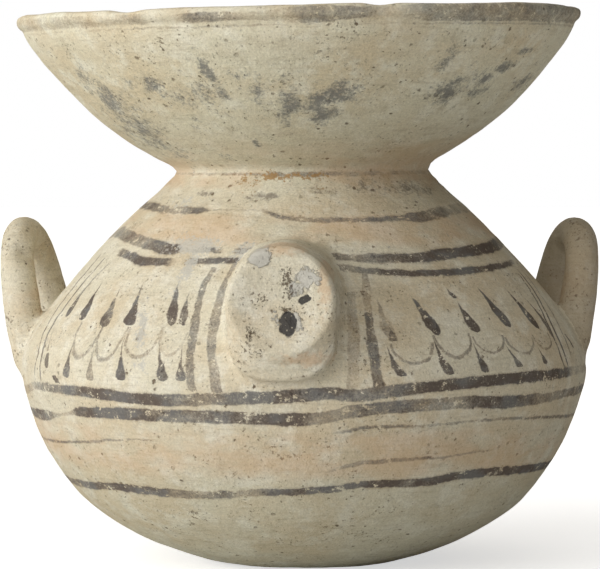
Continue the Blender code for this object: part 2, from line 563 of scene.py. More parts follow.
TALLEST = 240.0
SOFT_EDGE = 0.5
SOFT_HALO = 1.5
ALL_ROUND = 180
PATCH_REACH = 1.9  # how far a patch's soft edge goes, as a share of its half width

# Each band: its height, its half width and how thick its paint is, each as (turn, value) round the pot
BANDS = [
    (  # worn paint on the lip
        [(-180, 226.4), (-90, 225.6), (-10, 225.6), (20, 226.6), (180, 226.4)],
        [(-180, 3.0), (-60, 2.6), (-10, 1.8), (2, 3.4), (16, 2.0), (28, 3.8), (80, 3.8), (180, 3.0)],
        [(-180, 0.4), (-90, 0.24), (-60, 0.28), (-48, 0.34), (-42, 0.2), (-34, 0.32), (-28, 0.16), (-23, 0.34),
         (-19, 0.6), (-13, 0.5), (-9, 0.24), (-2, 0.34), (2, 0.56), (12, 0.6), (15, 0.22), (21, 0.28), (27, 0.52),
         (60, 0.56), (90, 0.5), (180, 0.4)],
    ),
    (  # painted shade in the step under the lip
        [(-180, 222.0), (180, 222.0)],
        [(-180, 0.5), (180, 0.5)],
        [(-180, 0.2), (-60, 0.2), (-20, 0.36), (10, 0.2), (30, 0.3), (80, 0.36), (180, 0.2)],
    ),
    (  # dirt in the crease of the neck
        [(-180, 163.2), (180, 163.2)],
        [(-180, 0.7), (-30, 0.6), (0, 1.0), (40, 0.8), (180, 0.7)],
        [(-180, 0.4), (-60, 0.35), (-30, 0.5), (-10, 0.62), (10, 0.55), (25, 0.35), (60, 0.3), (180, 0.4)],
    ),
    (  # the band below the neck
        [(-180, 149), (-71, 149.6), (-53, 148.4), (-16, 149.1), (-9, 146.8), (6, 145.2), (41, 145.9),
         (51, 147.3), (66, 148.5), (180, 149)],
        [(-180, 1.0), (-60, 1.6), (-38, 1.4), (-33, 0.35), (-17, 0.35), (-12, 0.9), (20, 1.0), (34, 1.2),
         (42, 2.0), (70, 1.9), (180, 1.0)],
        [(-180, 0.6), (-71, 0.8), (-50, 0.6), (-38, 0.85), (-34, 0.45), (-14, 0.42), (-9, 0.75), (4, 0.6),
         (30, 0.8), (55, 0.66), (70, 0.4), (180, 0.6)],
    ),
    (  # the shoulder's upper band
        [(-180, 136), (-82, 137.7), (-79, 138.8), (-50, 135), (-37, 133.1), (-13, 133.2), (3, 132.1),
         (10, 130.9), (29, 130.2), (44, 131.6), (59, 132.6), (81, 134.8), (180, 136)],
        [(-180, 1.9), (-60, 2.2), (-38, 2.1), (-34, 0.9), (-12, 1.3), (0, 1.2), (12, 1.6), (30, 2.0),
         (70, 2.1), (180, 1.9)],
        [(-180, 0.75), (-85, 0.5), (-70, 0.62), (-50, 0.72), (-40, 0.95), (-36, 0.55), (-34, 0.2), (-29, 0.2),
         (-27, 0.85), (-24, 0.75), (-22, 0.15), (-19, 0.2), (-16, 0.9), (-12, 0.8), (-8, 0.0), (3, 0.0),
         (8, 0.6), (18, 0.66), (27, 0.9), (60, 1.0), (75, 0.7), (85, 0.5), (180, 0.75)],
    ),
    (  # the shoulder's lower band
        [(-180, 129), (-70, 132.0), (-56, 130.3), (-45, 128.1), (-38, 128.3), (-16, 129.5), (6, 127.5),
         (16, 125.5), (35, 124.2), (51, 125), (70, 126.4), (180, 129)],
        [(-180, 1.3), (-60, 1.4), (-50, 1.7), (-36, 1.5), (-30, 1.3), (0, 1.3), (40, 1.4), (72, 1.1),
         (180, 1.3)],
        [(-180, 0.7), (-72, 0.0), (-62, 0.35), (-56, 0.9), (-40, 0.85), (-37, 0.5), (-34, 0.15), (-32, 0.75),
         (-20, 0.95), (-16, 0.85), (-12, 0.0), (2, 0.0), (7, 0.55), (18, 0.75), (24, 0.95), (60, 0.9),
         (72, 0.5), (78, 0.0), (180, 0.7)],
    ),
    (  # the upper band under the frieze
        [(-180, 77), (-81, 73.5), (-65, 77), (-50, 77), (-30, 75.5), (-14, 76.9), (-1, 78.3), (5, 79.4),
         (9, 78.2), (16, 79.6), (25, 81), (38, 82.3), (60, 82.7), (180, 77)],
        [(-180, 2.2), (-60, 1.8), (-45, 2.3), (-28, 2.4), (0, 2.6), (20, 2.4), (62, 2.1), (75, 1.8), (180, 2.2)],
        [(-180, 0.8), (-85, 0.4), (-70, 0.55), (-62, 0.7), (-50, 0.85), (-36, 1.0), (-26, 0.85), (-18, 0.72),
         (-12, 0.9), (-4, 0.95), (8, 0.8), (14, 0.75), (24, 0.95), (55, 1.0), (66, 0.8), (70, 0.4), (180, 0.8)],
    ),
    (  # the lower band under the frieze
        [(-180, 70), (-76, 64.3), (-60, 65.9), (-50, 68.5), (-14, 69.3), (-1, 68.8), (10, 72.2), (18, 73.5),
         (34, 74.2), (44, 73.3), (70, 74), (180, 70)],
        [(-180, 2.4), (-84, 1.6), (-70, 2.3), (-62, 1.2), (-57, 0.6), (-52, 1.8), (-40, 2.4), (-8, 2.6),
         (10, 2.6), (45, 2.5), (70, 1.9), (180, 2.4)],
        [(-180, 0.8), (-76, 0.75), (-70, 0.85), (-62, 0.55), (-57, 0.35), (-52, 0.75), (-44, 0.95), (-30, 0.85),
         (-20, 0.8), (-10, 0.9), (-2, 1.0), (4, 0.55), (12, 0.8), (20, 0.78), (28, 0.6), (40, 0.9), (50, 0.85),
         (56, 0.6), (70, 0.7), (180, 0.8)],
    ),
    (  # a thin brown line
        [(-180, 58), (-79, 53.3), (-55, 55.5), (-42, 58.0), (-33, 59.1), (7, 63.8), (14, 65.7), (26, 65.8),
         (40, 66.5), (52, 65.8), (77, 63.2), (180, 58)],
        [(-180, 0.5), (-70, 0.6), (-50, 0.6), (-30, 0.35), (0, 0.4), (12, 0.8), (25, 0.6), (70, 0.7), (180, 0.5)],
        [(-180, 0.5), (-80, 0.55), (-60, 0.72), (-48, 0.5), (-38, 0.55), (-32, 0.35), (-26, 0.0), (0, 0.0),
         (8, 0.5), (14, 0.72), (24, 0.5), (45, 0.62), (62, 0.72), (80, 0.6), (180, 0.5)],
    ),
    (  # a ragged line below it
        [(-180, 50), (-70, 50), (1, 47.3), (11, 50.8), (19, 52.0), (28, 52.2), (41, 53.7), (180, 50)],
        [(-180, 0.3), (0, 0.3), (12, 1.0), (22, 0.9), (34, 0.5), (180, 0.3)],
        [(-180, 0.3), (-78, 0.3), (-60, 0.0), (-2, 0.0), (4, 0.4), (12, 0.52), (20, 0.62), (30, 0.5), (42, 0.4),
         (50, 0.0), (180, 0.3)],
    ),
    (  # the lowest line
        [(-180, 38), (-78, 36.2), (-62, 36.4), (-48, 37.7), (-27, 36.8), (-19, 37.4), (-12, 38.6), (-1, 39.3),
         (7, 40.6), (14, 42.3), (25, 42.1), (39, 44.4), (75, 42.6), (180, 38)],
        [(-180, 1.6), (-60, 1.6), (-34, 1.8), (-15, 1.6), (10, 1.5), (25, 1.9), (75, 1.8), (180, 1.6)],
        [(-180, 0.85), (-75, 0.75), (-60, 0.9), (-35, 0.95), (-31, 0.6), (-22, 0.6), (-18, 0.8), (-14, 0.55),
         (-8, 0.8), (2, 0.95), (22, 0.95), (23, 0.6), (25, 0.9), (45, 1.0), (180, 0.85)],
    ),
]

# Outlines of brush strokes: half width, as a share of the widest, along the stroke from its start to its end
OUTLINES = {
    "bulb": [(0, 0.05), (0.3, 0.25), (0.6, 0.6), (0.8, 0.96), (0.9, 1.0), (0.97, 0.7), (1, 0)],
    "leaf": [(0, 0), (0.25, 0.35), (0.5, 0.66), (0.74, 1.0), (0.9, 0.85), (1, 0)],
    "stem": [(0, 0.12), (0.5, 0.35), (0.75, 0.75), (0.9, 1.0), (0.97, 0.85), (1, 0)],
    "wedge": [(0, 0.15), (0.5, 0.5), (0.92, 1.0), (1, 0.3)],
    "bar": [(0, 0.75), (0.3, 0.85), (0.5, 1.0), (0.7, 0.9), (1, 1.0)],
    "hair": [(0, 0.8), (0.2, 1.0), (0.8, 1.0), (1, 0.7)],
}

# Each stroke: its outline, its path from the top down as (turn, height), its half width and its thickness of paint
STROKES = [
    # upper drops, from the left handle to the front lug
    ("leaf", [(-64.8, 121), (-63.0, 104.5)], 1.9, 0.85),
    ("bulb", [(-58.6, 122), (-55.6, 104.6)], 2.7, 0.95),
    ("bulb", [(-49.4, 120.5), (-46.7, 102.6)], 3.0, 0.8),
    ("bulb", [(-42.6, 122.4), (-40.8, 112), (-39.6, 103.4)], 3.0, 0.9),
    ("leaf", [(-35.7, 109), (-35.2, 98)], 1.5, 0.33),
    ("leaf", [(-32.0, 123), (-30.2, 112), (-28.9, 104)], 2.5, 0.92),
    ("leaf", [(-27.9, 119), (-26.2, 104)], 1.9, 0.8),
    # lower drops on that side
    ("stem", [(-65.9, 104), (-63.4, 94), (-61.5, 85)], 1.9, 0.8),
    ("stem", [(-55.0, 103), (-53.9, 95), (-53.7, 82)], 2.3, 0.8),
    ("stem", [(-46.9, 101), (-46.6, 95), (-45.9, 81.5)], 2.2, 0.6),
    ("stem", [(-39.6, 103), (-38.6, 94), (-37.6, 82.5)], 2.3, 0.95),
    ("stem", [(-31.0, 102), (-29.8, 95), (-27.8, 83)], 2.6, 0.85),
    ("stem", [(-25.0, 99), (-24.1, 83.2)], 2.4, 0.85),
    ("bar", [(-58.4, 82.4), (-56.8, 79.4)], 2.2, 0.85),
    # upper drops, from the front lug to the right handle
    ("leaf", [(16.6, 117), (17.0, 108), (17.9, 99)], 2.5, 0.5),
    ("bulb", [(17.8, 108), (18.2, 98.5)], 1.8, 0.8),
    ("leaf", [(24.6, 117.6), (26.6, 110), (28.4, 100.6)], 2.9, 1.0),
    ("leaf", [(35.4, 119.4), (36.8, 114)], 1.3, 0.95),
    ("leaf", [(37.0, 114), (37.6, 107), (38.4, 101)], 2.9, 0.95),
    ("leaf", [(45.2, 120), (46.8, 112), (48.6, 102)], 2.8, 1.0),
    ("leaf", [(55.2, 119), (57.2, 110), (58.4, 100.6)], 2.5, 1.0),
    ("leaf", [(60.8, 117), (63.0, 106), (63.4, 96)], 1.6, 0.85),
    # lower drops on that side
    ("wedge", [(16.4, 98.4), (17.3, 91), (19.0, 85.4)], 2.2, 0.95),
    ("wedge", [(26.8, 101.5), (27.6, 92), (29.2, 85.2)], 2.2, 0.95),
    ("wedge", [(36.0, 99), (36.6, 92), (37.6, 85.6)], 1.9, 0.95),
    ("wedge", [(44.6, 97), (45.8, 91), (47.2, 86.6)], 1.9, 0.9),
    ("wedge", [(54.0, 95.6), (55.8, 87.4)], 1.4, 0.9),
    # upright bars beside the front lug
    ("bar", [(-23.4, 127), (-24.5, 118), (-23.6, 107), (-23.0, 97), (-22.6, 89), (-21.6, 79)], 1.9, 0.68),
    ("bar", [(-17.3, 129), (-18.7, 122), (-19.3, 113), (-19.1, 103.5), (-18.7, 97), (-17.4, 87), (-16.6, 79)], 2.2, 0.62),
    ("bar", [(10.8, 118), (10.0, 100), (9.0, 80)], 2.6, 0.36),
    ("bar", [(15.4, 127), (14.4, 116), (13.9, 108)], 1.9, 0.45),
    ("bar", [(14.0, 110), (13.6, 100), (13.7, 89), (14.4, 80)], 2.4, 0.78),
    # thin lines that close the frieze by the handles
    ("hair", [(-74.8, 130), (-74.0, 119), (-72.4, 108), (-69.8, 98), (-67.6, 88), (-67.6, 79)], 0.75, 0.7),
    ("hair", [(-68.6, 129), (-68.6, 119), (-67.9, 108), (-66.6, 98), (-65.0, 88), (-64.4, 79)], 0.8, 0.75),
    ("hair", [(-62.6, 127), (-64.0, 120), (-65.2, 112)], 0.7, 0.6),
    ("hair", [(71.0, 124), (69.6, 112), (66.2, 101), (65.6, 90), (66.4, 82)], 0.8, 0.85),
    ("hair", [(68.6, 122), (67.2, 112), (64.2, 102), (63.2, 92), (64.0, 84)], 0.8, 0.85),
    ("hair", [(74.6, 122), (73.0, 110), (70.0, 98), (69.0, 88)], 0.7, 0.6),
    # short strokes on the roots of the right handle
    ("bar", [(71.4, 97.5), (72.6, 92)], 1.0, 0.8),
]

# Each festoon: the turns and the height where its arms hang, and the height of its lowest point
FESTOONS = [
    (-54.6, -46.6, 104, 90.6, 0.5),
    (-46.8, -39.4, 103, 90.2, 0.52),
    (-38.8, -30.6, 103, 91.8, 0.5),
    (-30.4, -24.6, 102, 93.0, 0.36),
    (17.4, 26.4, 98, 90.2, 0.56),
    (27.2, 35.8, 101, 92.0, 0.62),
    (36.6, 44.8, 99.6, 93.2, 0.54),
    (45.4, 53.8, 98.6, 92.0, 0.5),
    (54.4, 61.6, 99, 92.8, 0.6),
]


def behind(turn):
    """The turn of the same mark on the back of the pot."""
    return math.copysign(ALL_ROUND, turn) - turn


# The potter painted the back panels as the front ones
STROKES += [(shape, [(behind(turn), height) for turn, height in path], *rest) for shape, path, *rest in STROKES]
FESTOONS += [(behind(right), behind(left), *rest) for left, right, *rest in FESTOONS]

# Grey stains on the funnel: (turn, height, half width, half height, lean, strength)
STAINS = [
    (-57.0, 189, 20, 15, 0.6, 0.62),
    (-34.0, 197, 16, 8, 0.0, 0.35),
    (-1.0, 192, 24, 9, 0.0, 0.42),
    (46.0, 199, 18, 9, 0.4, 0.4),
    (-60.5, 203, 6, 8, 0.5, 0.75),
    (-56.5, 194, 9, 9, 0.4, 1.0),
    (-55.0, 182, 12, 10, 0.3, 0.85),
    (-53.0, 174, 9, 6, 0.0, 0.55),
    (-36.8, 199.5, 6, 5.0, 0.0, 0.95),
    (-43.0, 201, 5, 4, 0.0, 0.6),
    (-21.0, 205, 3.2, 7, -0.3, 0.95),
    (-19.2, 197, 3.0, 3.4, 0.0, 0.9),
    (-24.0, 196, 6, 6, 0.0, 0.75),
    (-30.5, 194, 6, 5, 0.0, 0.72),
    (-10.6, 197.5, 3.0, 6.5, 0.0, 0.85),
    (-13.4, 203.0, 5.5, 2.2, 0.0, 0.7),
    (-3.6, 201.8, 3.4, 2.0, 0.0, 0.6),
    (-2.6, 192.6, 6, 4.6, 0.0, 1.05),
    (-4.4, 187.5, 3.6, 5.5, 0.0, 0.9),
    (4.0, 192.0, 7, 4.6, 0.0, 1.1),
    (9.5, 195.5, 8, 4.8, 0.5, 1.1),
    (6.0, 187.5, 7, 4.2, 0.3, 1.0),
    (33.6, 208.5, 3.4, 5.4, 0.3, 0.95),
    (38.6, 195.5, 8, 5.4, 0.0, 1.05),
    (40.5, 200.0, 6, 1.8, 0.0, 0.9),
    (49.0, 199.5, 5, 3.6, 0.6, 1.0),
    (53.0, 205.0, 6.5, 2.6, 0.9, 1.1),
    (57.0, 211.5, 5, 1.8, 1.2, 0.9),
    (50.0, 195.4, 8, 2.4, 0.3, 0.8),
    (70.0, 199.0, 9, 4.0, 0.5, 0.95),
    (-30.0, 171, 5, 2.0, 0.0, 0.5),
    (-15.0, 176.4, 1.6, 1.8, 0.0, 0.95),
    (-32.0, 184.5, 7, 4.5, 0.0, 0.45),
    (120.0, 196.0, 16, 9, 0.0, 0.8),
    (-130.0, 188.0, 14, 8, 0.3, 0.8),
    (165.0, 203.0, 12, 6, 0.0, 0.7),
]

# Dark smears below the neck: the same six values
SMEARS = [
    (-30.0, 147.5, 6.0, 1.0, 0.0, 0.4),
    (-41.5, 155.2, 5.0, 1.3, 0.0, 0.85),
    (-15.0, 154.6, 5.0, 1.6, 0.0, 0.95),
    (-22.0, 153.7, 3.2, 0.9, 0.0, 0.75),
    (8.0, 156.5, 8.0, 2.0, 0.0, 0.6),
    (27.0, 158.0, 12.0, 3.2, 0.0, 0.62),
    (46.0, 157.4, 11.0, 3.0, 0.0, 0.74),
    (57.0, 156.4, 6.0, 2.0, 0.0, 0.8),
    (-30.0, 134.0, 4.0, 2.4, 0.0, 0.25),
]

# Golden grains of earth that stick in the neck
NECK_GRAINS = [
    (-24.0, 161.0, 7.0, 3.6, 0.0, 0.9),
    (-14.0, 162.5, 8.0, 3.0, 0.0, 1.0),
    (-4.0, 162.8, 8.0, 2.2, 0.0, 0.9),
    (6.0, 162.5, 6.0, 2.0, 0.0, 1.0),
    (-20.0, 156.6, 6.0, 2.0, 0.0, 0.7),
    (8.0, 157.5, 5.0, 1.6, 0.0, 0.7),
    (150.0, 161.0, 12.0, 3.0, 0.0, 0.9),
]

# Pale lime crusts on the shoulder and beside the lug
CRUSTS = [
    (-33.0, 135.0, 13.0, 3.6, 0.0, 0.9),
    (-31.0, 127.0, 3.6, 10.0, 0.0, 0.8),
    (-14.5, 131.0, 7.0, 4.5, 0.0, 0.95),
    (-15.0, 120.0, 3.6, 8.0, 0.0, 0.7),
    (-36.0, 103.0, 3.4, 8.0, -0.4, 0.7),
    (-33.5, 88.0, 5.0, 5.0, 0.0, 0.5),
    (-50.0, 152.0, 12.0, 3.0, 0.0, 0.5),
]

# How greenish, how pale and how tan the clay is from the rest up, by height as a share of TALLEST; the clay is darker
# towards the foot
GREENISH = [(0, 0.55), (0.14, 0.45), (0.25, 0.15), (0.5, 0.05), (0.66, 0.2), (0.76, 0.5), (0.9, 0.45), (1, 0.2)]
PALENESS = [(0, 0.74), (0.15, 0.77), (0.3, 0.83), (0.45, 0.86), (0.6, 0.83), (0.7, 0.83), (0.78, 0.9), (0.9, 0.98), (1, 0.85)]
TAN_WASH = [(0, 0), (0.17, 0.02), (0.21, 0.45), (0.255, 0.4), (0.275, 0.02), (0.55, 0.02), (0.575, 0.5),
            (0.605, 0.52), (0.62, 0.1), (0.65, 0.15), (0.672, 0.55), (0.69, 0.45), (0.73, 0.2), (0.8, 0.0),
            (0.92, 0.12), (1, 0.3)]

# Shader nodes

class Nodes:
    """Adds nodes to one tree. An input is a number, a colour, a vector or another node's output."""

    def __init__(self, tree):
        self.tree = tree

    def add(self, kind, inputs=None, **settings):
        node = self.tree.nodes.new("ShaderNode" + kind)
        for name, value in settings.items():
            setattr(node, name, value)
        for key, value in (inputs or {}).items():
            self.feed(node.inputs[key], value)
        return node

    def feed(self, socket, value):
        if isinstance(value, bpy.types.NodeSocket):
            self.tree.links.new(value, socket)
        else:
            socket.default_value = value

    def math(self, operation, *values, clamp=False):
        return self.add("Math", dict(enumerate(values)), operation=operation, use_clamp=clamp).outputs[0]

    def fade(self, value, start, end, low=0.0, high=1.0, kind="SMOOTHSTEP"):
        """Turns a value that runs from start to end into one that runs from low to high, and no further."""
        limits = {"Value": value, "From Min": start, "From Max": end, "To Min": low, "To Max": high}
        return self.add("MapRange", limits, interpolation_type=kind).outputs[0]

    def noise(self, place, size, seed, detail=3.0, rough=0.5, stretch=(1, 1, 1), output=0):
        """Noise with lumps of this many millimetres, longer where a stretch is more than 1."""
        scale = [1 / (size * share) for share in stretch]
        shifted = self.add("Mapping", {"Vector": place, "Location": (seed * 3.1, seed * 1.7, seed * 2.3), "Scale": scale})
        inputs = {"Vector": shifted.outputs[0], "Scale": 1.0, "Detail": detail, "Roughness": rough}
        return self.add("TexNoise", inputs).outputs[output]

    def curve(self, value, points, start=0.0, end=1.0):
        """Reads a curve of (place, height) points at a value from 0 to 1."""
        node = self.add("FloatCurve", {"Value": value})
        line = node.mapping.curves[0]
        places = [((place - start) / (end - start), height) for place, height in points]
        line.points[0].location = places[0]
        line.points[1].location = places[-1]
        for place in places[1:-1]:
            line.points.new(*place)
        for point in line.points:
            point.handle_type = "AUTO_CLAMPED"
        node.mapping.use_clip = False
        node.mapping.update()
        return node.outputs[0]

    def blend(self, share, under, over, kind="MIX"):
        """Lays one colour over another."""
        node = self.add("Mix", {"Factor": share}, data_type="RGBA", blend_type=kind)
        self.feed(node.inputs[6], under)
        self.feed(node.inputs[7], over)
        return node.outputs[2]

    def most(self, values):
        """The greatest of some values, which may be drawn up one by one."""
        greatest = None
        for value in values:
            greatest = value if greatest is None else self.math("MAXIMUM", greatest, value)
        return greatest


def millimetres(n):
    """The place on the pot in millimetres."""
    place = n.add("TexCoord").outputs["Object"]
    return n.add("VectorMath", {0: place, 3: 1000.0}, operation="SCALE").outputs[0]


class Spot:
    """A place on the pot as the painter saw it: its turn, its height and the millimetres in a degree there."""

    def __init__(self, n, place, unsteady=0.0):
        x, y, z = n.add("SeparateXYZ", {0: place}).outputs
        above = n.math("SUBTRACT", z, NECK_HEIGHT * 1000)
        funnel = n.fade(above, -4, 4)
        over = n.math("MULTIPLY", funnel, n.math("MULTIPLY_ADD", above, math.sin(FUNNEL_LEAN), FUNNEL_OFFSET * 1000))
        upright = n.math("ADD", x, over)
        dropped = n.math("MULTIPLY", funnel, n.math("MULTIPLY", x, math.sin(FUNNEL_LEAN)))
        self.height = n.math("SUBTRACT", z, dropped)
        self.turn = n.math("DEGREES", n.math("ARCTAN2", upright, n.math("MULTIPLY", y, -1.0)))
        out = n.math("SQRT", n.math("MULTIPLY_ADD", upright, upright, n.math("MULTIPLY", y, y)))
        self.per_degree = n.math("MULTIPLY", out, math.radians(1))
        if unsteady:
            shake = n.noise(place, 5.5, 3, detail=4, rough=0.62, output=1)
            side, rise, _ = n.add("SeparateXYZ", {0: shake}).outputs
            self.height = n.math("MULTIPLY_ADD", n.math("SUBTRACT", rise, 0.5), unsteady, self.height)
            slip = n.math("DIVIDE", n.math("MULTIPLY", n.math("SUBTRACT", side, 0.5), unsteady), self.per_degree)
            self.turn = n.math("ADD", self.turn, slip)
        self.whole_turn = n.math("MULTIPLY_ADD", self.turn, 0.5 / ALL_ROUND, 0.5)


def all_round(n, spot, points):
    """A value given as (turn, value) points round the pot. It is drawn on a scale of 0 to 1."""
    tallest = max(value for _, value in points)
    drawn = [(turn, value / tallest) for turn, value in points]
    return n.math("MULTIPLY", n.curve(spot.whole_turn, drawn, -ALL_ROUND, ALL_ROUND), tallest)


def band(n, spot, path, half, amount):
    """A line round the pot."""
    away = n.math("ABSOLUTE", n.math("SUBTRACT", spot.height, all_round(n, spot, path)))
    depth = n.math("SUBTRACT", all_round(n, spot, half), away)
    full = all_round(n, spot, amount)
    halo = n.fade(depth, -SOFT_HALO, 0.0, 0.0, n.math("MULTIPLY", full, 0.3), "LINEAR")
    return n.math("MAXIMUM", halo, n.fade(depth, -SOFT_EDGE, SOFT_EDGE, 0.0, full))


def stroke(n, spot, outline, path, half, amount):
    """A brush stroke that runs down the pot."""
    (first, top), (last, foot) = path[0], path[-1]
    along = n.fade(spot.height, top, foot, kind="LINEAR")
    if len(path) == 2:
        middle = n.math("MULTIPLY_ADD", along, last - first, first)
    else:
        turns = [((top - height) / (top - foot), (turn + ALL_ROUND) / (2 * ALL_ROUND)) for turn, height in path]
        middle = n.math("MULTIPLY_ADD", n.curve(along, turns), 2 * ALL_ROUND, -ALL_ROUND)
    across = n.math("ABSOLUTE", n.math("MULTIPLY", n.math("SUBTRACT", spot.turn, middle), spot.per_degree))
    inside = n.fade(n.math("ABSOLUTE", n.math("SUBTRACT", along, 0.5)), 0.49, 0.5, half + SOFT_EDGE, 0.0, "LINEAR")
    reach = n.math("MULTIPLY_ADD", n.curve(along, OUTLINES[outline]), inside, -SOFT_EDGE)
    return n.fade(n.math("SUBTRACT", reach, across), -SOFT_EDGE, SOFT_EDGE, 0.0, amount)


def festoon(n, spot, left, right, top, bottom, amount):
    """A hanging arc of thin paint."""
    reach = (right - left) / 2
    across = n.math("MULTIPLY_ADD", spot.turn, 1 / reach, -(left + right) / 2 / reach)
    down = n.math("MULTIPLY_ADD", spot.height, -1 / (top - bottom), top / (top - bottom))
    length = n.add("VectorMath", {0: n.add("CombineXYZ", {0: across, 1: down}).outputs[0]}, operation="LENGTH")
    away = n.math("ABSOLUTE", n.math("SUBTRACT", length.outputs[1], 1.0))
    hung = n.math("MULTIPLY", n.math("GREATER_THAN", down, 0.0), amount)
    return n.fade(away, 0.13, 0.03, 0.0, hung)


def patch(n, spot, turn, height, across, up, lean, strength):
    """A soft oval, strongest in its middle. A lean moves its upper part towards +X."""
    rise = n.math("MULTIPLY_ADD", spot.height, 1 / up, -height / up)
    side = n.math("MULTIPLY", n.math("SUBTRACT", spot.turn, turn), n.math("DIVIDE", spot.per_degree, across))
    if lean:
        side = n.math("MULTIPLY_ADD", rise, -lean * up / across, side)
    length = n.add("VectorMath", {0: n.add("CombineXYZ", {0: side, 1: rise}).outputs[0]}, operation="LENGTH")
    return n.fade(length.outputs[1], PATCH_REACH, 0.0, 0.0, strength)


def patches(n, spot, rows):
    return n.most(patch(n, spot, *row) for row in rows)


def blot(n, place, centre, reach, strength=1.0):
    """A soft ball round a point of the pot, given in millimetres."""
    away = n.add("VectorMath", {0: place, 1: centre}, operation="DISTANCE").outputs[1]
    return n.fade(away, reach, 0.0, 0.0, strength)


# The clay that every part of the pot is made of

def clay_group():
    """The slipped clay: its colour, how rough it is and its fine relief in millimetres."""
    group = bpy.data.node_groups.new("slipped_clay", "ShaderNodeTree")
    for name, kind in (("Place", "Vector"), ("Grime", "Float")):
        group.interface.new_socket(name, in_out="INPUT", socket_type="NodeSocket" + kind)
    for name, kind in (("Color", "Color"), ("Roughness", "Float"), ("Height", "Float")):
        group.interface.new_socket(name, in_out="OUTPUT", socket_type="NodeSocket" + kind)
    n = Nodes(group)
    given = group.nodes.new("NodeGroupInput").outputs
    place, grime = given["Place"], given["Grime"]

    clouds = n.noise(place, 34, 1, detail=4, rough=0.55, stretch=(1.6, 1.6, 0.8))
    colour = n.blend(n.fade(clouds, 0.36, 0.62), WARM, CREAM)
    bloom = n.noise(place, 12, 2, detail=6, rough=0.7)
    colour = n.blend(n.fade(bloom, 0.45, 0.66, 0, 0.8), colour, PALE)
    drab = n.noise(place, 5.5, 10, detail=6, rough=0.78, stretch=(1.4, 1.4, 1))
    colour = n.blend(n.fade(drab, 0.5, 0.74, 0.0, 0.6), colour, DRAB)
    wiped = n.noise(place, 1.9, 4, detail=4, rough=0.65, stretch=(9, 9, 0.7))
    colour = n.blend(n.fade(wiped, 0.5, 0.74, 0.0, 0.38), colour, DRAB)
    grain = n.noise(place, 0.85, 5, detail=3, rough=0.75)
    shade = n.fade(grain, 0.3, 0.7, 0.84, 1.13, "LINEAR")
    colour = n.add("VectorMath", {0: colour, 3: shade}, operation="SCALE").outputs[0]

    where = n.noise(place, 11, 7, detail=4, rough=0.65, stretch=(1.6, 1.6, 0.7))
    thick = n.math("MULTIPLY_ADD", where, 0.42, n.math("MULTIPLY", grime, 0.16))
    crumbs = n.math("ADD", n.noise(place, 1.3, 6, detail=3, rough=0.66), thick)
    dirt = n.fade(crumbs, 0.86, 0.96)
    colour = n.blend(n.math("MULTIPLY", dirt, 0.72), colour, GRIME)

    bent = n.noise(place, 1.3, 8, detail=3, rough=0.7, output=1)
    bent = n.add("VectorMath", {0: bent, 1: (2.2, 2.2, 2.2), 2: place}, operation="MULTIPLY_ADD").outputs[0]
    pores = n.add("TexVoronoi", {"Vector": bent, "Scale": 1 / 3.6})
    size, tint, _ = n.add("SeparateXYZ", {0: pores.outputs["Color"]}).outputs
    deep = n.math("MULTIPLY_ADD", n.math("POWER", size, 4.0), 0.22, n.math("MULTIPLY", pores.outputs["Distance"], -1.0))
    pore = n.fade(deep, -0.08, 0.04)
    colour = n.blend(n.math("MULTIPLY", pore, n.fade(tint, 0, 1, 0.2, 0.85)), colour, GRIME)
    flecks = n.fade(n.noise(place, 1.2, 11, detail=2, rough=0.6), 0.68, 0.76, 0.0, 0.6)
    colour = n.blend(flecks, colour, PALE)

    soft = n.noise(place, 3.0, 9, detail=4, rough=0.62)
    height = n.math("MULTIPLY", soft, 0.55)
    height = n.math("MULTIPLY_ADD", grain, 0.16, height)
    height = n.math("MULTIPLY_ADD", wiped, 0.16, height)
    height = n.math("MULTIPLY_ADD", pore, -0.35, height)
    height = n.math("MULTIPLY_ADD", dirt, -0.14, height)
    rough = n.fade(bloom, 0.3, 0.7, 0.82, 0.95)
    outputs = group.nodes.new("NodeGroupOutput").inputs
    for name, value in (("Color", colour), ("Roughness", rough), ("Height", height)):
        n.feed(outputs[name], value)
    return group


def clay_surface(name, group, grime=0.0):
    """A material of this clay: its nodes, its place in millimetres, and the group's colour, roughness and height."""
    material = bpy.data.materials.new(name)
    material.use_nodes = True
    n = Nodes(material.node_tree)
    place = millimetres(n)
    clay = n.add("Group", node_tree=group)
    n.feed(clay.inputs["Place"], place)
    n.feed(clay.inputs["Grime"], grime)
    return material, n, place, clay.outputs


def finish(n, colour, rough, height):
    """Gives the clay's shader its colour, roughness and relief."""
    shader = n.tree.nodes["Principled BSDF"]
    bump = n.add("Bump", {"Height": height, "Distance": 0.001, "Strength": 1.0})
    n.feed(shader.inputs["Base Color"], colour)
    n.feed(shader.inputs["Roughness"], rough)
    n.feed(shader.inputs["Normal"], bump.outputs[0])
    shader.inputs["Specular IOR Level"].default_value = 0.3


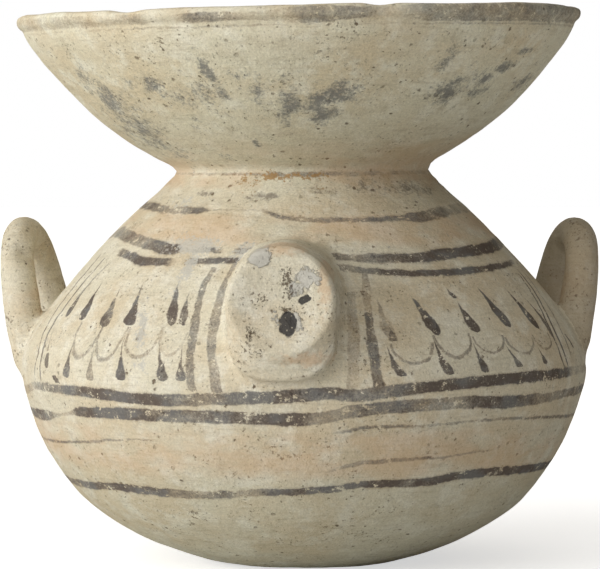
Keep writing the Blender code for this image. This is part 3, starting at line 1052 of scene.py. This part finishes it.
def painted(n, colour, place, thickness):
    """Lays paint over a colour. Thin paint is brown and breaks up, and thick paint is nearly black."""
    streaks = n.noise(place, 0.9, 21, detail=4, rough=0.75)
    pools = n.noise(place, 8.0, 22, detail=4, rough=0.65)
    flakes = n.noise(place, 1.9, 23, detail=5, rough=0.72, stretch=(1.3, 1.3, 1))
    worn = n.math("MULTIPLY_ADD", pools, 0.5, flakes)
    lost = n.fade(worn, 0.84, 0.90)
    kept = n.math("MULTIPLY", thickness, n.math("SUBTRACT", 1.0, lost))
    body = n.math("MULTIPLY_ADD", n.math("SUBTRACT", streaks, 0.5), 1.1, kept)
    body = n.math("MULTIPLY_ADD", n.math("SUBTRACT", 0.5, pools), 0.8, body)
    body = n.math("MULTIPLY", body, n.fade(kept, 0.04, 0.25))
    cover = n.fade(body, 0.08, 0.95, 0.0, 0.93, "LINEAR")
    ink = n.blend(n.fade(body, 0.30, 0.66), THIN_PAINT, BROWN_PAINT)
    blue = n.noise(place, 12.0, 24, detail=3, rough=0.6, stretch=(1.6, 1.6, 1))
    ink = n.blend(n.fade(blue, 0.44, 0.62, 0.0, 0.8), ink, BLUE_PAINT)
    return n.blend(cover, colour, ink)


def marks_in(zone, rows, spread):
    """The rows whose marks reach into a zone. A row's spread is its least and greatest turn and height."""
    _, low, high, left, right = zone
    for row in rows:
        first, last, foot, top = spread(row)
        if last > left and first < right and top > low and foot < high:
            yield row


def band_spread(row):
    heights = [height for _, height in row[0]]
    return -ALL_ROUND - 1, ALL_ROUND + 1, min(heights) - 5, max(heights) + 5


def stroke_spread(row):
    turns = [turn for turn, _ in row[1]]
    heights = [height for _, height in row[1]]
    return min(turns) - 4, max(turns) + 4, min(heights) - 2.5, max(heights) + 2.5


def festoon_spread(row):
    left, right, top, bottom, _ = row
    return left - 3, right + 3, bottom - 4, top + 2.5


def patch_spread(row):
    turn, height, across, up = row[:4]
    return turn - 2 * across, turn + 2 * across, height - PATCH_REACH * up, height + PATCH_REACH * up


def wall_clay(zone, group):
    """The painted outer wall, as far as one zone of it."""
    material, n, place, clay = clay_surface(zone[0] + "_clay", group, grime=0.1)
    spot = Spot(n, place, unsteady=2.2)
    height = n.math("MULTIPLY", spot.height, 1 / TALLEST)
    mottle = n.noise(place, 4.6, 31, detail=5, rough=0.68)
    fine_mottle = n.noise(place, 1.2, 33, detail=3, rough=0.7)

    greenish = n.curve(height, GREENISH)
    colour = n.blend(greenish, clay["Color"], n.blend(1.0, clay["Color"], tone(232, 238, 232), "MULTIPLY"))
    pale = n.curve(height, PALENESS)
    colour = n.add("VectorMath", {0: colour, 3: n.math("MULTIPLY", pale, 1.2)}, operation="SCALE").outputs[0]
    cloudy = n.fade(n.noise(place, 16, 32, detail=4, rough=0.6, stretch=(2, 2, 0.8)), 0.35, 0.62)
    colour = n.blend(n.math("MULTIPLY", n.curve(height, TAN_WASH), cloudy), colour, TAN)

    thickness = [band(n, spot, *row) for row in marks_in(zone, BANDS, band_spread)]
    thickness += [stroke(n, spot, *row) for row in marks_in(zone, STROKES, stroke_spread)]
    thickness += [festoon(n, spot, *row) for row in marks_in(zone, FESTOONS, festoon_spread)]
    if thickness:
        colour = painted(n, colour, place, n.most(thickness))
    for rows, share, cover, over in (
        (CRUSTS, (0.68, 0.86), 0.8, LIME),
        (STAINS, (0.66, 1.08), 0.8, ASH),
        (SMEARS, (0.66, 1.0), 0.7, SMEAR),
        (NECK_GRAINS, (0.84, 0.98), 0.9, GOLD_GRIME),
    ):
        found = list(marks_in(zone, rows, patch_spread))
        if found:
            mask = n.math("MULTIPLY_ADD", patches(n, spot, found), 0.5, mottle)
            mask = n.math("MULTIPLY_ADD", n.math("SUBTRACT", fine_mottle, 0.5), 0.9, mask)
            colour = n.blend(n.fade(mask, *share, 0.0, cover), colour, over)
    finish(n, colour, clay["Roughness"], clay["Height"])
    return material


class LugFace:
    """A place on the front lug's disc: how far across and up from its middle it is, in millimetres."""

    def __init__(self, n, place):
        shake = n.noise(place, 3.0, 41, detail=3, rough=0.65, output=1)
        place = n.add("VectorMath", {0: shake, 1: (2.4, 2.4, 2.4), 2: place}, operation="MULTIPLY_ADD").outputs[0]
        sideways = placed(LUG_TURN["front"], 1, 0, 0)
        outward = placed(LUG_TURN["front"], 0, 1, 0)
        self.turn = self.measured(n, place, sideways, 1.2)
        self.height = self.measured(n, place, Vector((0, 0, 1)), 1.2 + LUG_HEIGHT * 1000)
        self.front = n.fade(self.measured(n, place, outward, 1.2), 96, 106)
        self.per_degree = 1.0

    @staticmethod
    def measured(n, place, way, start):
        along = n.add("VectorMath", {0: place, 1: way}, operation="DOT_PRODUCT").outputs[1]
        return n.math("SUBTRACT", along, start)


# Marks on the front lug: (across, up, half width, half height, lean, strength)
LUG_CRUMBS = [
    (1.8, 10.0, 3.0, 5.0, 0.0, 1.0),
    (3.4, 4.0, 3.4, 3.4, 0.0, 1.1),
    (2.6, -3.0, 3.6, 2.2, 0.0, 0.9),
    (-6.8, 1.0, 3.0, 3.6, 0.0, 0.75),
    (-11.5, -12.0, 3.0, 4.4, 0.0, 0.9),
    (-9.0, -19.5, 2.4, 1.8, 0.0, 0.9),
    (-3.5, -17.0, 1.6, 1.6, 0.0, 0.8),
    (8.0, -15.0, 2.0, 2.0, 0.0, 0.5),
    (10.5, -3.0, 3.0, 2.4, 0.0, 0.6),
]
LUG_CRUSTS = [
    (-8.0, 17.6, 4.4, 3.6, 0.0, 1.25),
    (10.5, 9.6, 4.6, 4.0, 0.0, 1.0),
    (6.2, 5.5, 2.6, 4.0, 0.0, 0.85),
    (6.0, -7.0, 2.6, 5.0, 0.0, 0.8),
    (-1.8, -6.0, 2.2, 5.0, 0.0, 0.6),
]
LUG_TAN = [
    (-2.0, 21.0, 12.0, 3.0, 0.0, 0.9),
    (17.0, 8.0, 3.0, 12.0, 0.0, 0.8),
    (10.0, -22.0, 12.0, 3.0, 0.2, 0.8),
]


def lug_clay(group):
    """The lug: crusted and pitted, with a dark blob of paint and a chip in its disc."""
    material, n, place, clay = clay_surface("lug_clay", group, grime=0.25)
    face = LugFace(n, place)
    mottle = n.noise(place, 3.4, 42, detail=5, rough=0.7)
    colour = clay["Color"]
    relief = clay["Height"]

    def spread(rows, low, high, cover):
        mask = n.math("MULTIPLY_ADD", n.math("MULTIPLY", patches(n, face, rows), face.front), 0.5, mottle)
        return n.fade(mask, low, high, 0.0, cover)

    colour = n.blend(spread(LUG_TAN, 0.6, 0.95, 0.6), colour, TAN)
    crust = spread(LUG_CRUSTS, 0.72, 0.82, 0.9)
    colour = n.blend(crust, colour, LIME)
    relief = n.math("MULTIPLY_ADD", crust, 0.5, relief)
    crumbs = n.math("ADD", spread(LUG_CRUMBS, 0.5, 1.0, 0.3), n.noise(place, 1.0, 43, detail=3, rough=0.75))
    crumbs = n.fade(crumbs, 0.74, 0.90)
    colour = n.blend(n.math("MULTIPLY", crumbs, 0.85), colour, GRIME)
    relief = n.math("MULTIPLY_ADD", crumbs, -0.45, relief)

    blob = n.math("MULTIPLY", n.fade(patch(n, face, 2.9, -8.2, 3.4, 5.0, 0.0, 1.0), 0.40, 0.52), face.front)
    chip = n.math("MULTIPLY", n.fade(patch(n, face, 9.4, 1.2, 2.4, 1.9, 0.6, 1.0), 0.40, 0.55), face.front)
    dark = n.math("MAXIMUM", blob, chip)
    flecked = n.fade(n.noise(place, 1.4, 44, detail=4, rough=0.7), 0.60, 0.68, 1.0, 0.35)
    colour = n.blend(n.math("MULTIPLY", n.math("MULTIPLY", dark, flecked), 0.95), colour, SOOT)
    relief = n.math("MULTIPLY_ADD", dark, -0.3, relief)
    finish(n, colour, clay["Roughness"], relief)
    return material


def handle_clay(group):
    """The handles: painted shade between their legs and over the right handle, and stained tan where the near legs meet
    the belly.
    """
    material, n, place, clay = clay_surface("handle_clay", group, grime=0.3)
    cloudy = n.fade(n.noise(place, 7, 51, detail=4, rough=0.65), 0.3, 0.6)
    tan = n.most(
        [
            blot(n, place, (-112, 6, 106), 22, 0.9),
            blot(n, place, (-112, 8, 120), 14, 0.5),
            blot(n, place, (106, 4, 112), 20, 0.8),
        ]
    )
    colour = n.blend(n.math("MULTIPLY", tan, cloudy), clay["Color"], TAN)
    # Painted shade: darker brown in the hollow between each handle's legs, next to the wall
    hollow = n.most([blot(n, place, (-112, 22, 112), 22, 0.9), blot(n, place, (108, 20, 112), 24, 1.0)])
    colour = n.blend(n.math("MULTIPLY", hollow, cloudy), colour, tone(112, 94, 74))
    # Painted shade: the right handle, on the side away from the key lamp, is made darker
    painted_shade_right = n.fade(n.add("SeparateXYZ", {0: place}).outputs[0], 0, 60, 0.0, 0.5)
    colour = n.blend(painted_shade_right, colour, tone(150, 134, 112))
    finish(n, colour, clay["Roughness"], clay["Height"])
    return material


def inside_clay(group):
    """The inside, wiped round, stained by what stood in it, and with painted shade that darkens it deeper down."""
    material, n, place, clay = clay_surface("inside_clay", group, grime=0.3)
    height = n.add("SeparateXYZ", {0: place}).outputs[2]
    clouds = n.noise(place, 20, 61, detail=5, rough=0.65, stretch=(1.5, 1.5, 1))
    # Painted shade: darker brown deeper inside the pot
    depth = n.fade(height, 175, 20, 0.0, 0.75)
    colour = n.blend(n.math("MULTIPLY", depth, n.fade(clouds, 0.3, 0.6, 0.5, 1.0)), clay["Color"], tone(140, 122, 98))
    colour = n.blend(n.fade(clouds, 0.6, 0.72, 0.0, 0.45), colour, ASH)
    finish(n, colour, clay["Roughness"], clay["Height"])
    return material


# Studio

def look_at(obj, target):
    """Turns a camera or lamp to face a point."""
    obj.rotation_euler = (target - obj.location).to_track_quat("-Z", "Y").to_euler()


def add_camera():
    """The photograph's view: nearly level, from the front, and far enough back to look flat."""
    camera = bpy.data.objects.new("camera", bpy.data.cameras.new("camera"))
    bpy.context.scene.collection.objects.link(camera)
    camera.location = CAMERA_PLACE
    look_at(camera, CAMERA_AIM)
    distance = (CAMERA_AIM - CAMERA_PLACE).length
    camera.data.sensor_width = SENSOR_WIDTH
    camera.data.lens = SENSOR_WIDTH * distance / (IMAGE_WIDTH * PIXEL_AT_AIM)
    camera.data.clip_end = 20
    bpy.context.scene.camera = camera


def add_sun(name, turn, rise, softness, power):
    """A distant lamp at a turn from the front and a rise above the floor, in degrees."""
    lamp = bpy.data.objects.new(name, bpy.data.lights.new(name, "SUN"))
    bpy.context.scene.collection.objects.link(lamp)
    way = Matrix.Rotation(math.radians(turn), 3, "Z") @ Matrix.Rotation(math.radians(-rise), 3, "X") @ Vector((0, -2, 0))
    lamp.location = way
    look_at(lamp, Vector((0, 0, 0)))
    lamp.data.angle = math.radians(softness)
    lamp.data.energy = power


def add_studio():
    """A pale floor, a pale surround and a soft key lamp from the upper left."""
    bm = bmesh.new()
    bmesh.ops.create_grid(bm, x_segments=1, y_segments=1, size=6.0)
    floor = new_object("floor", bm)
    surface = bpy.data.materials.new("pale_floor")
    surface.use_nodes = True
    shader = surface.node_tree.nodes["Principled BSDF"]
    shader.inputs["Base Color"].default_value = (0.93, 0.93, 0.93, 1)
    shader.inputs["Roughness"].default_value = 0.9
    shader.inputs["Emission Color"].default_value = (1, 1, 1, 1)
    n = Nodes(surface.node_tree)
    n.feed(shader.inputs["Emission Strength"], n.math("MULTIPLY", n.add("LightPath").outputs["Is Camera Ray"], 0.6))
    floor.data.materials.append(surface)
    add_surround()
    add_sun("key", -65, 10, 34, 2.1)
    add_sun("front_fill", -28, 26, 60, 0.75)
    bpy.context.scene.view_settings.view_transform = "Standard"


def add_surround():
    """A white surround that gives more light from the left than from the right."""
    world = bpy.data.worlds.new("studio")
    world.use_nodes = True
    n = Nodes(world.node_tree)
    seen = world.node_tree.nodes["Background"]
    seen.inputs["Strength"].default_value = 1.0
    seen.inputs["Color"].default_value = (1, 1, 1, 1)
    toward = n.add("VectorMath", {0: n.add("TexCoord").outputs["Generated"], 1: (-0.85, -0.18, 0.5)}, operation="DOT_PRODUCT")
    soft = n.add("Background", {"Color": (1, 0.955, 0.87, 1), "Strength": n.fade(toward.outputs[1], -0.55, 0.8, 0.07, 0.52)})
    both = n.add("MixShader", {0: n.add("LightPath").outputs["Is Camera Ray"], 1: soft.outputs[0], 2: seen.outputs[0]})
    n.feed(world.node_tree.nodes["World Output"].inputs["Surface"], both.outputs[0])
    bpy.context.scene.world = world


def main():
    add_camera()
    add_studio()
    pot = build_pot()
    group = clay_group()
    materials = [wall_clay(zone, group) for zone in ZONES]
    materials += [inside_clay(group), handle_clay(group), lug_clay(group)]
    for material in materials:
        pot.data.materials.append(material)
    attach(pot, "root")
    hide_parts("olla")


main()
